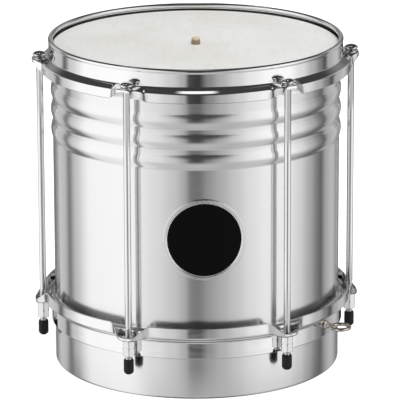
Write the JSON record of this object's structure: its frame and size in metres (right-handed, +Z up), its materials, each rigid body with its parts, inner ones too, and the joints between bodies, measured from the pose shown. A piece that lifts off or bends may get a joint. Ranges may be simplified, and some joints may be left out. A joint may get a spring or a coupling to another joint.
{
  "type": "cuica",
  "caption": "Friction drum with a ribbed aluminium shell, eared chrome hoops drawn together by long tension rods, and a bamboo stick tied into its goat skin head.",
  "frame": {"origin": "the middle of the foot's lower face, on the drum's axis", "axes": "+Z up along the drum's axis to the playing head, -Y towards the front with the badge, +X through the ear of the first tension rod"},
  "size_m": [0.2898, 0.274, 0.2956],
  "materials": {
    "shell_aluminium": "fine circumferential brushing, quite bright",
    "badge_plate": "satin rim round a bare dark field",
    "goat_skin": "stretched, smooth and slightly translucent",
    "bare_steel": "plain drawn bar",
    "hoop_chrome": "mirror chrome",
    "zinc_steel": "bright zinc plating",
    "black_rubber": "matt moulded",
    "nickel_steel": "polished nickel plating",
    "bamboo": "scraped and oiled",
    "tied_skin": "dried hard over the stick's end",
    "waxed_thread": "wound in close turns"
  },
  "bodies": {
    "shell_body": {"shell": "shell_aluminium", "lower_ring": "hoop_chrome", "head_skin": "goat_skin", "badge": "badge_plate", "eye_bolt": "nickel_steel", "eye_bolt_nut": "nickel_steel", "eye_bolt_washer": "nickel_steel"},
    "hoop": {"counterhoop": "hoop_chrome", "flesh_hoop": "bare_steel", "skin_tuck": "goat_skin", "tension_rod_1": "zinc_steel", "tension_rod_2": "zinc_steel", "tension_rod_3": "zinc_steel", "tension_rod_4": "zinc_steel", "tension_rod_5": "zinc_steel", "tension_rod_6": "zinc_steel", "rod_cap_1": "black_rubber", "rod_cap_2": "black_rubber", "rod_cap_3": "black_rubber", "rod_cap_4": "black_rubber", "rod_cap_5": "black_rubber", "rod_cap_6": "black_rubber"},
    "nut_1": {"tuning_nut_1": "zinc_steel"},
    "nut_2": {"tuning_nut_2": "zinc_steel"},
    "nut_3": {"tuning_nut_3": "zinc_steel"},
    "nut_4": {"tuning_nut_4": "zinc_steel"},
    "nut_5": {"tuning_nut_5": "zinc_steel"},
    "nut_6": {"tuning_nut_6": "zinc_steel"},
    "stick": {"friction_stick": "bamboo", "skin_tie": "tied_skin", "thread_binding": "waxed_thread"}
  },
  "joints": [
    {"name": "tuning", "type": "slide", "parent": "shell_body", "child": "hoop", "axis": [0, 0, -1], "range_m": [-0.002, 0.003]},
    {"name": "nut_turn_1", "type": "hinge", "parent": "shell_body", "child": "nut_1", "pos_m": [0.138, 0, 0.0469], "axis": [0, 0, 1], "range_deg": [-721, 1081]},
    {"name": "nut_turn_2", "type": "hinge", "parent": "shell_body", "child": "nut_2", "pos_m": [0.069, 0.11951, 0.0469], "axis": [0, 0, 1], "range_deg": [-721, 1081]},
    {"name": "nut_turn_3", "type": "hinge", "parent": "shell_body", "child": "nut_3", "pos_m": [-0.069, 0.11951, 0.0469], "axis": [0, 0, 1], "range_deg": [-721, 1081]},
    {"name": "nut_turn_4", "type": "hinge", "parent": "shell_body", "child": "nut_4", "pos_m": [-0.138, 0, 0.0469], "axis": [0, 0, 1], "range_deg": [-721, 1081]},
    {"name": "nut_turn_5", "type": "hinge", "parent": "shell_body", "child": "nut_5", "pos_m": [-0.069, -0.11951, 0.0469], "axis": [0, 0, 1], "range_deg": [-721, 1081]},
    {"name": "nut_turn_6", "type": "hinge", "parent": "shell_body", "child": "nut_6", "pos_m": [0.069, -0.11951, 0.0469], "axis": [0, 0, 1], "range_deg": [-721, 1081]},
    {"name": "stick_rub", "type": "slide", "parent": "shell_body", "child": "stick", "axis": [0, 0, 1], "range_m": [-0.0015, 0.0015], "stiffness_N_per_m": 2000}
  ],
  "couplings": [
    {"joint": "nut_turn_1", "follows": "tuning", "rad_per_m": 6283.2},
    {"joint": "nut_turn_2", "follows": "tuning", "rad_per_m": 6283.2},
    {"joint": "nut_turn_3", "follows": "tuning", "rad_per_m": 6283.2},
    {"joint": "nut_turn_4", "follows": "tuning", "rad_per_m": 6283.2},
    {"joint": "nut_turn_5", "follows": "tuning", "rad_per_m": 6283.2},
    {"joint": "nut_turn_6", "follows": "tuning", "rad_per_m": 6283.2}
  ]
}
